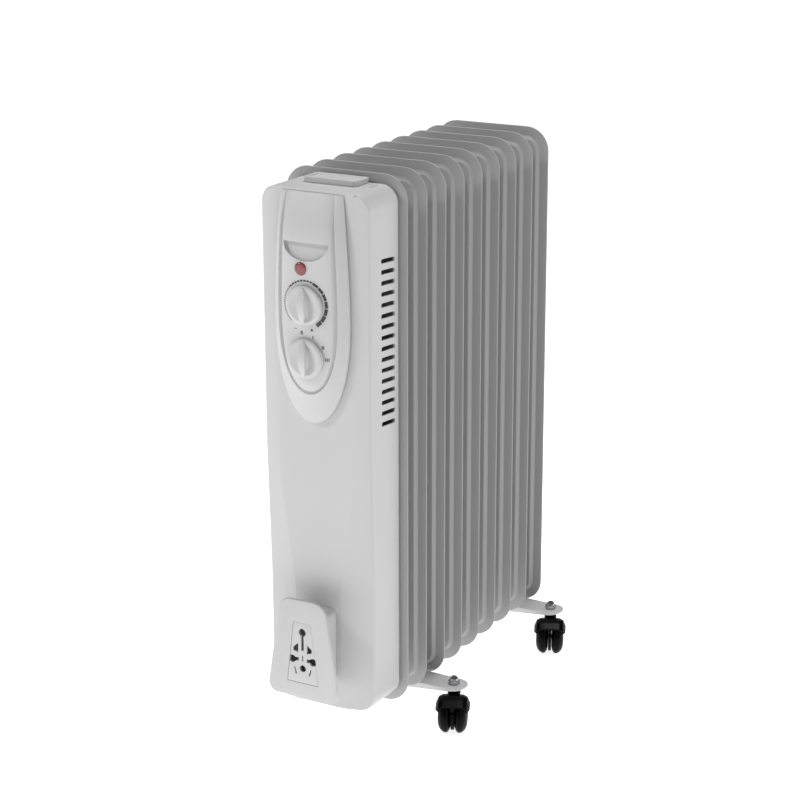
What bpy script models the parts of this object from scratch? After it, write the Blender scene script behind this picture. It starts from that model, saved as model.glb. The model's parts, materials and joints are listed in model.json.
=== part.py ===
"""Oil filled radiator heater on four twin-wheel castors.

Nine pressed fins stand in a row along Y and share an oil header at the top and another at the
bottom. A moulded casing on the front fin (towards -Y) holds the controls and the cord winder.
The origin lies on the floor under the middle of the whole object, +Z is up, sizes are in metres.
"""
import math

import bmesh
import bpy
from mathutils import Matrix, Vector

# ------------------------------------------------------------------ driving dimensions
FLOOR_GAP = 0.044            # floor to the lowest edge of the fins
FIN_COUNT = 9
FIN_PITCH = 0.0405
FIN_WIDTH = 0.1424
FIN_HEIGHT = 0.570
FIN_CORNER = 0.027
FLANGE_WIDTH = 0.0105        # welded flat edge round each fin
FLANGE_THICK = 0.0016
PANEL_THICK = 0.009          # both raised halves of a fin together
PRESSED_STEP = 0.0025        # rounding between the flange and the raised panel
SHEET = 0.001                # wall of the raised oil space
HEADER_INSET = 0.034         # header axis from the top or bottom edge of a fin
HEADER_RADIUS = 0.017
BORE_RADIUS = 0.013
FRONT_BOSS = 0.0110          # how far the header bosses reach in front of the first fin's middle
GAP = 0.0003                 # clearance between pieces that touch

CASING_WIDTH = 0.125
CASING_DEPTH = 0.0645        # front fin's middle plane to the casing's face
CASING_LOW = 0.010           # above the lowest edge of the fins
CASING_HIGH = 0.560
CASING_CORNER = 0.018
CASING_EDGE = 0.005          # rounding between the face and the sides
CASING_WALL = 0.0022
CASING_REAR = 0.0048         # rear edge of the casing in front of the front fin's middle

PANEL_FACE = 0.0805          # crown of the control panel in front of the front fin's middle
WINDER_FACE = 0.0970         # front of the cord winder's plate
KNOB_RADIUS = 0.020
THERMOSTAT_Z = 0.4473
SWITCH_Z = 0.3930
LAMP_X, LAMP_Z = -0.0050, 0.4835

BRACKET_TOP = 0.004          # above the lowest edge of the fins
BRACKET_SHEET = 0.0018
STEM_X = 0.094               # castor stems left and right of the middle
WHEEL_RADIUS = 0.0195
TRAIL = 0.017                # wheel axle in front of the stem
CASTOR_TURN = 24             # degrees each castor is swivelled, the left pair mirroring the right

TOTAL_DEPTH = WINDER_FACE + (FIN_COUNT - 1) * FIN_PITCH + PANEL_THICK / 2
FRONT_FIN_Y = -TOTAL_DEPTH / 2 + WINDER_FACE
HEADER_LOW_Z = FLOOR_GAP + HEADER_INSET
HEADER_HIGH_Z = FLOOR_GAP + FIN_HEIGHT - HEADER_INSET
BRACKET_Z = FLOOR_GAP + BRACKET_TOP

# ------------------------------------------------------------------ scene and collections
for old in list(bpy.data.objects):
    bpy.data.objects.remove(old, do_unlink=True)


def new_collection(name):
    group = bpy.data.collections.new(name)
    bpy.context.scene.collection.children.link(group)
    return group


PARTS = new_collection("oil_radiator")
CUTTERS = new_collection("cutters")


def ahead(distance):
    """World Y of a plane the given distance in front of the front fin's middle."""
    return FRONT_FIN_Y - distance


def height(above_fins):
    """World Z of a level above the lowest edge of the fins."""
    return FLOOR_GAP + above_fins


def make_material(name, colour, roughness, metallic=0.0):
    mat = bpy.data.materials.new(name)
    mat.use_nodes = True
    shader = mat.node_tree.nodes["Principled BSDF"]
    shader.inputs["Base Color"].default_value = (*colour, 1.0)
    shader.inputs["Roughness"].default_value = roughness
    shader.inputs["Metallic"].default_value = metallic
    return mat


WHITE_PAINT = make_material("white_paint", (0.78, 0.78, 0.77), 0.35)
WHITE_PLASTIC = make_material("white_plastic", (0.74, 0.74, 0.73), 0.45)
BLACK_PLASTIC = make_material("black_plastic", (0.015, 0.015, 0.016), 0.25)
RED_LENS = make_material("red_lens", (0.55, 0.06, 0.06), 0.2)
CHROME = make_material("chrome", (0.80, 0.80, 0.82), 0.12, 1.0)
STEEL = make_material("zinc_steel", (0.62, 0.63, 0.64), 0.35, 1.0)
CREAM_PLASTIC = make_material("cream_plastic", (0.70, 0.66, 0.55), 0.5)


def finish(obj, name, mat, group=PARTS):
    """Name the object, give it its own material and move it to its collection."""
    obj.name = name
    obj.data.name = name
    obj.data.materials.clear()
    own = mat.copy()
    own.name = name
    obj.data.materials.append(own)
    for old in list(obj.users_collection):
        old.objects.unlink(obj)
    group.objects.link(obj)
    return obj


def as_cutter(obj):
    obj.name = "cutter"
    obj.hide_render = True
    obj.display_type = "WIRE"
    for old in list(obj.users_collection):
        old.objects.unlink(obj)
    CUTTERS.objects.link(obj)
    return obj


def boolean(target, tool, operation="DIFFERENCE"):
    """Cut a piece with a tool, or join the tool to it, and keep the result in the piece's mesh."""
    step = target.modifiers.new(operation.lower(), "BOOLEAN")
    step.object = as_cutter(tool)
    step.operation = operation
    step.solver = "EXACT"
    bpy.context.view_layer.update()
    bpy.context.view_layer.objects.active = target
    bpy.ops.object.modifier_apply(modifier=step.name)
    bpy.data.objects.remove(tool, do_unlink=True)
    return target


def smooth(obj, angle=35):
    obj.data.shade_smooth()
    obj.data.set_sharp_from_angle(angle=math.radians(angle))
    return obj


# ------------------------------------------------------------------ shapes used by several pieces
def cylinder(radius, low, high, centre, axis="Z", sides=16):
    """Cylinder along a world axis from low to high; centre gives its two other coordinates."""
    turn = {"X": (0, math.pi / 2, 0), "Y": (math.pi / 2, 0, 0), "Z": (0, 0, 0)}[axis]
    middle = (low + high) / 2
    spot = {"X": (middle, *centre), "Y": (centre[0], middle, centre[1]), "Z": (*centre, middle)}
    bpy.ops.mesh.primitive_cylinder_add(vertices=sides, radius=radius, depth=high - low,
                                        location=spot[axis], rotation=turn)
    obj = bpy.context.object
    bpy.ops.object.transform_apply(location=False, rotation=True, scale=True)
    return obj


def box(low, high, bevel=0.0, segments=2):
    low, high = Vector(low), Vector(high)
    bpy.ops.mesh.primitive_cube_add(size=1, location=(low + high) / 2)
    obj = bpy.context.object
    obj.scale = high - low
    bpy.ops.object.transform_apply(location=False, rotation=False, scale=True)
    if bevel:
        step = obj.modifiers.new("edges", "BEVEL")
        step.width = bevel
        step.segments = segments
        bpy.ops.object.modifier_apply(modifier=step.name)
    return obj


def arc(centre, radius, start, stop, steps):
    """Points on an arc in a plane, angles in degrees."""
    turns = [math.radians(start + (stop - start) * k / steps) for k in range(steps + 1)]
    return [(centre[0] + radius * math.cos(a), centre[1] + radius * math.sin(a)) for a in turns]


def rounded_rectangle(width, low, high, radius, steps=5):
    """Outline in X and Z, anticlockwise, starting at the lower right corner."""
    right, points = width / 2 - radius, []
    corners = ((right, low + radius, -90), (right, high - radius, 0),
               (-right, high - radius, 90), (-right, low + radius, 180))
    for x, z, start in corners:
        points += arc((x, z), radius, start, start + 90, steps)
    return points


def plate(outline, y_front, y_back, bevel=0.0):
    """Flat outline in X and Z made solid between two Y planes, as a mesh."""
    curve = bpy.data.curves.new("outline", "CURVE")
    curve.dimensions = "2D"
    curve.fill_mode = "BOTH"
    curve.extrude = (y_back - y_front) / 2 - bevel
    curve.bevel_depth = bevel
    curve.bevel_resolution = 0
    curve.offset = -bevel
    spline = curve.splines.new("POLY")
    spline.points.add(len(outline) - 1)
    for point, (x, z) in zip(spline.points, outline):
        point.co = (x, z, 0, 1)
    spline.use_cyclic_u = True
    obj = bpy.data.objects.new("outline", curve)
    obj.matrix_world = Matrix.Translation((0, (y_front + y_back) / 2, 0)) @ \
        Matrix.Rotation(math.pi / 2, 4, "X")
    return curve_to_mesh(obj)


def curve_to_mesh(obj):
    """Replace a curve object by a welded mesh object in the same place."""
    bpy.context.scene.collection.objects.link(obj)
    bpy.context.view_layer.update()
    evaluated = obj.evaluated_get(bpy.context.evaluated_depsgraph_get())
    mesh = bpy.data.meshes.new_from_object(evaluated)
    solid = bpy.data.objects.new("solid", mesh)
    solid.matrix_world = obj.matrix_world
    bpy.context.scene.collection.objects.link(solid)
    bpy.data.objects.remove(obj, do_unlink=True)
    work = bmesh.new()
    work.from_mesh(mesh)
    bmesh.ops.remove_doubles(work, verts=work.verts, dist=0.00001)
    bmesh.ops.recalc_face_normals(work, faces=work.faces)
    work.to_mesh(mesh)
    work.free()
    bpy.ops.object.select_all(action="DESELECT")
    solid.select_set(True)
    bpy.context.view_layer.objects.active = solid
    bpy.ops.object.transform_apply(location=False, rotation=True, scale=True)
    return solid


def tube(points, radius, resolution=1):
    """Round wire or tube through the given points."""
    curve = bpy.data.curves.new("wire", "CURVE")
    curve.dimensions = "3D"
    curve.bevel_depth = radius
    curve.bevel_resolution = resolution
    curve.use_fill_caps = True
    spline = curve.splines.new("POLY")
    spline.points.add(len(points) - 1)
    for point, place in zip(spline.points, points):
        point.co = (*place, 1)
    return curve_to_mesh(bpy.data.objects.new("wire", curve))


def turned(profile, location, axis="Z", steps=12, closed=False):
    """Solid turned from a profile of (radius, height) points, top to bottom, about an axis.

    The profile's height points up, to the right or to the front; a bored solid's profile is closed.
    """
    mesh = bpy.data.meshes.new("profile")
    corners = [(radius, 0, level) for radius, level in profile]
    edges = [(k, k + 1) for k in range(len(corners) - 1)]
    if closed:
        edges.append((len(corners) - 1, 0))
    mesh.from_pydata(corners, edges, [])
    obj = bpy.data.objects.new("turned", mesh)
    bpy.context.scene.collection.objects.link(obj)
    step = obj.modifiers.new("turn", "SCREW")
    step.steps = step.render_steps = steps
    step.use_merge_vertices = True
    step.merge_threshold = 0.00001
    turn = {"Z": Matrix(), "X": Matrix.Rotation(math.pi / 2, 4, "Y"),
            "Y": Matrix.Rotation(math.pi / 2, 4, "X")}[axis]
    obj.matrix_world = Matrix.Translation(location) @ turn
    bpy.context.view_layer.update()
    bpy.ops.object.select_all(action="DESELECT")
    obj.select_set(True)
    bpy.context.view_layer.objects.active = obj
    bpy.ops.object.modifier_apply(modifier=step.name)
    bpy.ops.object.transform_apply(location=False, rotation=True, scale=True)
    return obj


def bake(obj, matrix=Matrix()):
    """Move a shape's mesh by its own location and then by a matrix; its origin goes to the world's."""
    obj.data.transform(matrix @ Matrix.Translation(obj.location))
    obj.location = (0, 0, 0)
    return obj


def mirrored(obj):
    """Mirror a shape's mesh left to right."""
    obj.data.transform(Matrix.Scale(-1, 4, (1, 0, 0)))
    obj.data.flip_normals()
    return obj


# ------------------------------------------------------------------ fins
def make_fin(index):
    """Two pressed sheets welded round the edge, with an oil space between and header collars."""
    y = FRONT_FIN_Y + index * FIN_PITCH
    low, high = height(0), height(FIN_HEIGHT)
    flange = rounded_rectangle(FIN_WIDTH, low, high, FIN_CORNER)
    fin = plate(flange, y - FLANGE_THICK / 2, y + FLANGE_THICK / 2)
    inset, half = FLANGE_WIDTH, PANEL_THICK / 2
    raised = rounded_rectangle(FIN_WIDTH - 2 * inset, low + inset, high - inset, FIN_CORNER - inset)
    boolean(fin, plate(raised, y - half, y + half, bevel=PRESSED_STEP), "UNION")
    reach = FIN_PITCH / 2 - GAP / 2
    front = y - (FRONT_BOSS if index == 0 else reach)
    last = index == FIN_COUNT - 1
    for z in (HEADER_LOW_Z, HEADER_HIGH_Z):
        collar = cylinder(HEADER_RADIUS, front, y if last else y + reach, (0, z), "Y", 14)
        boolean(fin, collar, "UNION")
    inset += PRESSED_STEP + SHEET
    space = rounded_rectangle(FIN_WIDTH - 2 * inset, low + inset, high - inset, FIN_CORNER - inset, 3)
    oil = plate(space, y - half + SHEET, y + half - SHEET)
    for z in (HEADER_LOW_Z, HEADER_HIGH_Z):
        bore = cylinder(BORE_RADIUS, front - 0.001, y if last else y + reach + 0.001, (0, z), "Y", 14)
        boolean(oil, bore, "UNION")
    boolean(fin, oil)
    return finish(smooth(fin, 30), f"fin_{index + 1}", WHITE_PAINT)


for number in range(FIN_COUNT):
    make_fin(number)


# ------------------------------------------------------------------ oil and heating element
def make_filler_plug():
    """Hexagon plug that closes the front of the upper header."""
    face = ahead(FRONT_BOSS + GAP)
    head = cylinder(0.015, face - 0.006, face, (0, HEADER_HIGH_Z), "Y", 6)
    shank = cylinder(BORE_RADIUS * 0.93, face - 0.001, face + 0.009, (0, HEADER_HIGH_Z), "Y")
    return finish(boolean(head, shank, "UNION"), "oil_filler_plug", STEEL)


def make_element():
    """Flange on the lower header with two hairpin heating tubes along the header."""
    face = ahead(FRONT_BOSS + GAP)
    flange = cylinder(0.0205, face - 0.005, face, (0, HEADER_LOW_Z), "Y", 20)
    pin_radius, spread, bend = 0.0033, 0.0056, 0.0056
    far_end = FRONT_FIN_Y + (FIN_COUNT - 2) * FIN_PITCH
    near_end = face + GAP
    for number, x in ((1, -spread), (2, spread)):
        bend_arc = [(x, far_end + bend * math.cos(a), HEADER_LOW_Z - bend * math.sin(a))
                    for a in (math.radians(k * 30) for k in range(-3, 4))]
        route = [(x, near_end, HEADER_LOW_Z + bend), *bend_arc, (x, near_end, HEADER_LOW_Z - bend)]
        finish(tube(route, pin_radius), f"heater_tube_{number}", STEEL)
        for z in (-bend, bend):
            stud = cylinder(0.0025, face - 0.014, face - 0.004, (x, HEADER_LOW_Z + z), "Y", 8)
            boolean(flange, stud, "UNION")
    return finish(flange, "element_flange", STEEL)


make_filler_plug()
make_element()


# ------------------------------------------------------------------ casing
SCOOP_TOP, SCOOP_FULL, TONGUE = 0.289, 0.139, 0.027
SCOOP_DEPTH = 0.0085
FLAT_FACE = 0.0445           # half width of the face's flat middle


def casing_half_width(level):
    """Half the casing's width at a level above the fins' lowest edge."""
    to_end = min(level - CASING_LOW, CASING_HIGH - level)
    drop = max(0.0, CASING_CORNER - to_end)
    return CASING_WIDTH / 2 - CASING_CORNER + math.sqrt(max(0.0, CASING_CORNER ** 2 - drop ** 2))


def casing_face(x, level):
    """How far the casing's face stands in front of the front fin's middle plane."""
    side = CASING_WIDTH / 2
    lean = 0.0035 * (max(0.0, abs(x) - FLAT_FACE) / (side - FLAT_FACE)) ** 2
    scoop = min(1.0, max(0.0, (SCOOP_TOP - level) / (SCOOP_TOP - SCOOP_FULL)))
    if scoop:
        start = side - scoop * (side - TONGUE)
        beyond = max(0.0, abs(x) - start) / (side - start)
        lean = (1 - scoop) * lean + scoop * SCOOP_DEPTH * beyond
    return CASING_DEPTH - lean


def rounded_edge(distance):
    """Drop of a rounded edge at a distance in from the outline."""
    if distance >= CASING_EDGE:
        return 0.0
    return CASING_EDGE - math.sqrt(CASING_EDGE ** 2 - (CASING_EDGE - distance) ** 2)


def casing_surface():
    """Open skin of the casing: its face as a shaped grid, and the sides back to the fin."""
    columns = [0, 0.2, 0.43, 0.62, 0.8, 0.93, 0.98, 1.0]
    columns = [-u for u in reversed(columns[1:])] + columns
    span = CASING_HIGH - CASING_LOW
    rows = [0, 0.0013, 0.005, 0.012, 0.018, 0.045, 0.085, 0.129, 0.16, 0.19, 0.22, 0.25, 0.279, 0.35,
            0.45, span - 0.018, span - 0.012, span - 0.005, span - 0.0013, span]
    work = bmesh.new()
    grid = []
    for row in rows:
        level = CASING_LOW + row
        half = casing_half_width(level)
        line = []
        for u in columns:
            x = u * half
            inward = min(half * (1 - abs(u)), row, span - row)
            y = ahead(casing_face(x, level) - rounded_edge(inward))
            line.append(work.verts.new((x, y, height(level))))
        grid.append(line)
    for lower, upper in zip(grid, grid[1:]):
        for k in range(len(columns) - 1):
            work.faces.new((lower[k], lower[k + 1], upper[k + 1], upper[k]))
    rim = [edge for edge in work.edges if edge.is_boundary]
    sides = bmesh.ops.extrude_edge_only(work, edges=rim)["geom"]
    for vert in (item for item in sides if isinstance(item, bmesh.types.BMVert)):
        vert.co.y = ahead(CASING_REAR)
    bmesh.ops.recalc_face_normals(work, faces=work.faces)
    mesh = bpy.data.meshes.new("casing")
    work.to_mesh(mesh)
    work.free()
    obj = bpy.data.objects.new("casing", mesh)
    bpy.context.scene.collection.objects.link(obj)
    return obj


def thicken(obj, wall):
    """Give an open skin its wall on the inner side."""
    step = obj.modifiers.new("wall", "SOLIDIFY")
    step.thickness = wall
    step.offset = -1
    step.use_even_offset = True
    bpy.context.view_layer.objects.active = obj
    bpy.ops.object.modifier_apply(modifier=step.name)
    return obj


LOUVRES, LOUVRE_PITCH, LOUVRE_TOP = 16, 0.01125, 0.4885
LOUVRE_FRONT, LOUVRE_BACK, LOUVRE_HIGH = 0.0385, 0.0115, 0.0046
LOUVRE_DROOP = 4.4           # degrees, the rear end lower
HOLE_RADIUS = 0.0062         # shafts and lamp through the casing


def make_casing():
    """Moulded shell with louvres down both sides and holes for the controls and the cord."""
    casing = thicken(casing_surface(), CASING_WALL)
    side, length = CASING_WIDTH / 2, LOUVRE_FRONT - LOUVRE_BACK
    droop = Matrix.Rotation(math.radians(-LOUVRE_DROOP), 4, "X")
    for number in range(LOUVRES):
        middle = (0, ahead((LOUVRE_FRONT + LOUVRE_BACK) / 2), height(LOUVRE_TOP - number * LOUVRE_PITCH))
        for flip in (False, True):
            slot = box((side - 0.006, -length / 2, -LOUVRE_HIGH / 2),
                       (side + 0.004, length / 2, LOUVRE_HIGH / 2))
            bake(slot, Matrix.Translation(middle) @ droop)
            boolean(casing, mirrored(slot) if flip else slot)
    face, back = ahead(CASING_DEPTH + 0.002), ahead(CASING_DEPTH - 0.006)
    for x, level, radius in ((0, THERMOSTAT_Z, HOLE_RADIUS), (0, SWITCH_Z, HOLE_RADIUS),
                             (LAMP_X, LAMP_Z, HOLE_RADIUS)):
        boolean(casing, cylinder(radius, face, back, (x, height(level)), "Y"))
    boolean(casing, cylinder(0.0085, height(CASING_LOW) - 0.002, height(CASING_LOW) + 0.006,
                             (0, ahead(0.030)), "Z"))
    return finish(smooth(casing), "control_casing", WHITE_PLASTIC)


def make_back_plate():
    """Sheet steel plate behind the controls, cut out round both header bosses."""
    outline = rounded_rectangle(0.1180, height(0.0135), height(0.5565), 0.015, 3)
    sheet = plate(outline, ahead(0.0075), ahead(0.0063))
    for z in (HEADER_LOW_Z, HEADER_HIGH_Z):
        boolean(sheet, cylinder(0.0250, ahead(0.010), ahead(0.004), (0, z), "Y", 20))
    return finish(sheet, "casing_back_plate", STEEL)


def make_top_pad():
    """Raised cap on the casing's top."""
    low = (-0.031, ahead(0.0335), height(CASING_HIGH) + GAP)
    pad = box(low, (0.031, ahead(0.0050), height(CASING_HIGH + 0.0056)), 0.0018, 2)
    return finish(smooth(pad), "top_pad", WHITE_PLASTIC)


def make_gland():
    """Cord gland in the casing's floor."""
    z = height(CASING_LOW)
    wall = CASING_WALL
    profile = [(0, 0.012), (0.0070, 0.012), (0.0070, wall + 0.0022), (0.0105, wall + 0.0022),
               (0.0105, wall + GAP), (0.0078, wall + GAP), (0.0078, -GAP), (0.0105, -GAP),
               (0.0100, -0.004), (0.0070, -0.010), (0, -0.010)]
    gland = turned(profile, (0, ahead(0.030), z))
    boolean(gland, cylinder(0.0038, z - 0.012, z + 0.014, (0, ahead(0.030)), "Z", 10))
    return finish(smooth(gland), "cable_gland", BLACK_PLASTIC)


make_casing()
make_back_plate()
make_top_pad()
make_gland()


# ------------------------------------------------------------------ control panel
PANEL_TOP, PANEL_LOW, PANEL_WIDE = 0.5575, 0.3216, 0.430
CREST_LOW, CREST_WIDE = 0.3530, 0.440


SPINE_LOW = 0.385            # below this level the panel's rings shrink towards one point
RECESS_Z, RECESS_HALF, RECESS_DROP = 0.5100, 0.0260, 0.0190
LENS_RADIUS = 0.0068
HOLDER_FLANGE = 0.0085       # radius of the collar that rests behind the casing's face
HOLDER_STEP, HOLDER_BACK = 0.058, 0.042
SHAFT_RADIUS = 0.0030
CONTROL_FRONT = CASING_DEPTH - CASING_WALL - 0.0010


def shield_outline(top_half, wide_half, top, wide, low, power, steps=7):
    """Shield outline in X and level: nearly straight sides and a deep round lower end."""
    right = []
    for k in range(4):
        level = top + (wide - top) * k / 4
        right.append((wide_half - (wide_half - top_half) * ((level - wide) / (top - wide)) ** 1.6, level))
    for k in range(steps + 1):
        turn = math.radians(90 * k / steps)
        part = math.sin(turn) ** (2 / power)
        right.append((wide_half * math.cos(turn), wide - (wide - low) * part))
    left = [(-x, level) for x, level in reversed(right[:-1])]
    return right + left


def make_fascia():
    """Shield-shaped control panel: a rounded border round a crowned middle, hollow behind."""
    outer = shield_outline(0.0360, 0.0433, PANEL_TOP, PANEL_WIDE, PANEL_LOW, 2.2)
    crest = shield_outline(0.0294, 0.0346, PANEL_TOP, CREST_WIDE, CREST_LOW, 2.5)
    base = CASING_DEPTH + GAP
    rings = [(outer, 1.0, base), (outer, 0.995, base + 0.0035), (crest, 1.0, 0.0760),
             (crest, 0.92, 0.0752), (crest, 0.70, 0.0788), (crest, 0.35, PANEL_FACE)]
    work = bmesh.new()
    loops = []
    for outline, scale, out in rings:
        loop = []
        for x, level in outline:
            pivot = min(max(level, SPINE_LOW), PANEL_TOP)
            level = pivot + (level - pivot) * scale
            swell = 1 - 0.80 * max(0.0, (level - 0.505) / (PANEL_TOP - 0.505)) ** 2
            loop.append(work.verts.new((x * scale, ahead(base + (out - base) * swell), height(level))))
        loops.append(loop)
    count = len(loops[0])
    for first, second in zip(loops, loops[1:]):
        for k in range(count - 1):
            work.faces.new((first[k], first[k + 1], second[k + 1], second[k]))
    inner, middle = loops[-1], count // 2
    for k in range(middle - 1):
        work.faces.new((inner[k], inner[k + 1], inner[count - 2 - k], inner[count - 1 - k]))
    work.faces.new((inner[middle - 1], inner[middle], inner[middle + 1]))
    work.faces.new([loop[0] for loop in loops] + [loop[-1] for loop in reversed(loops)])
    work.faces.new(loops[0])
    bmesh.ops.recalc_face_normals(work, faces=work.faces)
    mesh = bpy.data.meshes.new("fascia")
    work.to_mesh(mesh)
    work.free()
    fascia = bpy.data.objects.new("fascia", mesh)
    bpy.context.scene.collection.objects.link(fascia)
    hollow = shield_outline(0.0230, 0.0300, 0.5250, CREST_WIDE, CREST_LOW + 0.006, 2.5, 4)
    hollow = [(x, height(level)) for x, level in hollow]
    boolean(fascia, plate(hollow, ahead(0.0725), ahead(base - 0.002)))
    front, back = ahead(PANEL_FACE + 0.002), ahead(0.070)
    for x, level, radius in ((0, THERMOSTAT_Z, HOLE_RADIUS), (0, SWITCH_Z, HOLE_RADIUS),
                             (LAMP_X, LAMP_Z, LENS_RADIUS + 0.0004)):
        boolean(fascia, cylinder(radius, front, back, (x, height(level)), "Y"))
    recess = arc((0, 0), RECESS_HALF, 180, 360, 10)
    recess = [(x, height(RECESS_Z + z * RECESS_DROP / RECESS_HALF)) for x, z in recess]
    boolean(fascia, plate(recess, front, ahead(PANEL_FACE - 0.0045)))
    return finish(smooth(fascia), "control_panel", WHITE_PLASTIC)


def make_knob(name, level):
    """Round knob with a straight grip across it, and a socket for its shaft."""
    back = ahead(PANEL_FACE + GAP)
    profile = [(0, 0.0050), (KNOB_RADIUS * 0.80, 0.0046), (KNOB_RADIUS * 0.96, 0.0032),
               (KNOB_RADIUS, 0.0010), (KNOB_RADIUS, 0), (0, 0)]
    knob = turned(profile, (0, back, height(level)), "Y", 24)
    grip = box((-0.0048, back - 0.0105, height(level) - 0.0168),
               (0.0048, back - 0.0012, height(level) + 0.0168), 0.0028, 2)
    boolean(knob, grip, "UNION")
    boolean(knob, cylinder(SHAFT_RADIUS + GAP, back - 0.0065, back + 0.001, (0, height(level)), "Y", 12))
    return finish(smooth(knob), name, WHITE_PLASTIC)


def make_shaft(name, level):
    """Round shaft from a control's body to the inside of its knob."""
    shaft = cylinder(SHAFT_RADIUS, ahead(PANEL_FACE + 0.0064), ahead(CONTROL_FRONT) - GAP,
                     (0, height(level)), "Y", 12)
    return finish(smooth(shaft), name, STEEL)


def make_control_body(name, level, half_width, half_height, depth, mat):
    """Body of a control behind the casing's face."""
    front = ahead(CONTROL_FRONT)
    z = height(level)
    body = box((-half_width, front, z - half_height), (half_width, front + depth, z + half_height), 0.001, 1)
    return finish(body, name, mat)


def make_lamp():
    """Domed red lens in front of a pale holder with a collar behind the casing's face."""
    z = height(LAMP_Z)
    profile = [(0, 0.0022), (LENS_RADIUS * 0.55, 0.0017), (LENS_RADIUS * 0.9, 0.0004),
               (LENS_RADIUS, -0.0010), (LENS_RADIUS, -0.0070), (0, -0.0070)]
    lens = turned(profile, (LAMP_X, ahead(PANEL_FACE - 0.0006), z), "Y", 20)
    finish(smooth(lens), "lamp_lens", RED_LENS)
    front, shoulder = ahead(PANEL_FACE - 0.0076) + GAP, ahead(CASING_DEPTH - CASING_WALL) + GAP
    holder = cylinder(HOLE_RADIUS - 0.0004, front, ahead(HOLDER_BACK), (LAMP_X, z), "Y", 12)
    flange = cylinder(HOLDER_FLANGE, shoulder, ahead(HOLDER_STEP), (LAMP_X, z), "Y", 12)
    finish(boolean(holder, flange, "UNION"), "lamp_holder", CREAM_PLASTIC)


make_fascia()
make_knob("thermostat_knob", THERMOSTAT_Z)
make_knob("switch_knob", SWITCH_Z)
make_shaft("thermostat_shaft", THERMOSTAT_Z)
make_shaft("switch_shaft", SWITCH_Z)
make_control_body("thermostat", THERMOSTAT_Z, 0.018, 0.016, 0.026, CREAM_PLASTIC)
make_control_body("power_switch", SWITCH_Z, 0.021, 0.018, 0.024, BLACK_PLASTIC)
make_lamp()

block = box((-0.022, ahead(0.024), height(0.200)), (0.022, ahead(0.0078), height(0.216)), 0.001, 1)
finish(block, "terminal_block", CREAM_PLASTIC)
cutout = cylinder(0.0085, ahead(0.0165), ahead(0.0078), (0.020, height(0.300)), "Y", 16)
finish(cutout, "thermal_cutout", BLACK_PLASTIC)


# ------------------------------------------------------------------ cord winder and plug park
WINDER_LOW, WINDER_HIGH = 0.0300, 0.1385
WINDER_THICK = 0.0034
NECK_HALF, NECK_LOW, NECK_HIGH, NECK_WALL = 0.0215, 0.042, 0.122, 0.0022
PARK_LOW, PARK_HIGH, PARK_THICK = 0.0465, 0.1135, 0.0026


def tapered_outline(low, high, low_half, high_half, radius, steps=4):
    """Four-sided outline, wider at its lower edge, with round corners."""
    slope = math.degrees(math.atan2(low_half - high_half, high - low))
    corners = ((low_half - radius, low + radius, -90, slope),
               (high_half - radius, high - radius, slope, 90),
               (radius - high_half, high - radius, 90, 180 - slope),
               (radius - low_half, low + radius, 180 - slope, 270))
    points = []
    for x, level, start, stop in corners:
        points += arc((x, height(level)), radius, start, stop, steps)
    return points


def make_winder():
    """Plate on a hollow neck: the cord is wound round the neck behind the plate."""
    front = ahead(WINDER_FACE)
    outline = tapered_outline(WINDER_LOW, WINDER_HIGH, 0.0440, 0.0265, 0.0125, 5)
    winder = plate(outline, front, front + WINDER_THICK, bevel=0.0008)
    foot = ahead(CASING_DEPTH) - GAP
    neck = box((-NECK_HALF, front + 0.002, height(NECK_LOW)), (NECK_HALF, foot, height(NECK_HIGH)), 0.001, 1)
    boolean(winder, neck, "UNION")
    inner = NECK_HALF - NECK_WALL
    hollow = box((-inner, front + WINDER_THICK, height(NECK_LOW) + NECK_WALL),
                 (inner, foot + 0.002, height(NECK_HIGH) - NECK_WALL))
    boolean(winder, hollow)
    window = tapered_outline(PARK_LOW - GAP, PARK_HIGH + GAP, 0.0188 + GAP, 0.0105 + GAP, 0.002, 2)
    boolean(winder, plate(window, front - 0.001, front + WINDER_THICK + 0.001))
    return finish(smooth(winder), "cord_winder", WHITE_PLASTIC)


def make_plug_park():
    """Insert with openings for the pins of different plugs, seated in the winder's window."""
    front = ahead(WINDER_FACE) + 0.0002
    outline = tapered_outline(PARK_LOW, PARK_HIGH, 0.0188, 0.0105, 0.002, 2)
    park = plate(outline, front, front + PARK_THICK)
    deep = (front - 0.001, front + PARK_THICK + 0.001)
    holes = [arc((0, height(0.1030)), 0.0043, 0, 330, 11), arc((0, height(0.0628)), 0.0038, 0, 330, 11)]
    holes.append([(-0.0014, height(0.0830)), (0.0014, height(0.0830)),
                  (0.0014, height(0.1000)), (-0.0014, height(0.1000))])
    for side in (-1, 1):
        holes.append([(side * x, height(z)) for x, z in
                      ((0.0055, 0.0800), (0.0055, 0.0905), (0.0120, 0.0850), (0.0120, 0.0815))[::side]])
        holes.append([(side * x, height(z)) for x, z in
                      ((0.0050, 0.0705), (0.0050, 0.0745), (0.0110, 0.0780), (0.0148, 0.0755),
                       (0.0135, 0.0700), (0.0110, 0.0690))[::side]])
        holes.append([(side * x, height(z)) for x, z in
                      ((0.0075, 0.0560), (0.0092, 0.0632), (0.0106, 0.0628), (0.0089, 0.0556))[::side]])
    for hole in holes:
        boolean(park, plate(hole, *deep))
    return finish(park, "plug_park", WHITE_PLASTIC)


make_winder()
make_plug_park()


# ------------------------------------------------------------------ feet
BRACKET_HALF, BRACKET_END = 0.0165, 0.0150
BRACKET_SKIRT, SKIRT_END, SKIRT_START = 0.0090, 0.0032, 0.030
BOLT_WIRE = 0.0025
BOLT_HALF = HEADER_RADIUS + BOLT_WIRE + 2 * GAP
STEM_RADIUS = 0.0030
FRONT_FOOT_Y = FRONT_FIN_Y + 1.5 * FIN_PITCH
REAR_FOOT_Y = FRONT_FIN_Y + (FIN_COUNT - 1.5) * FIN_PITCH


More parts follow.
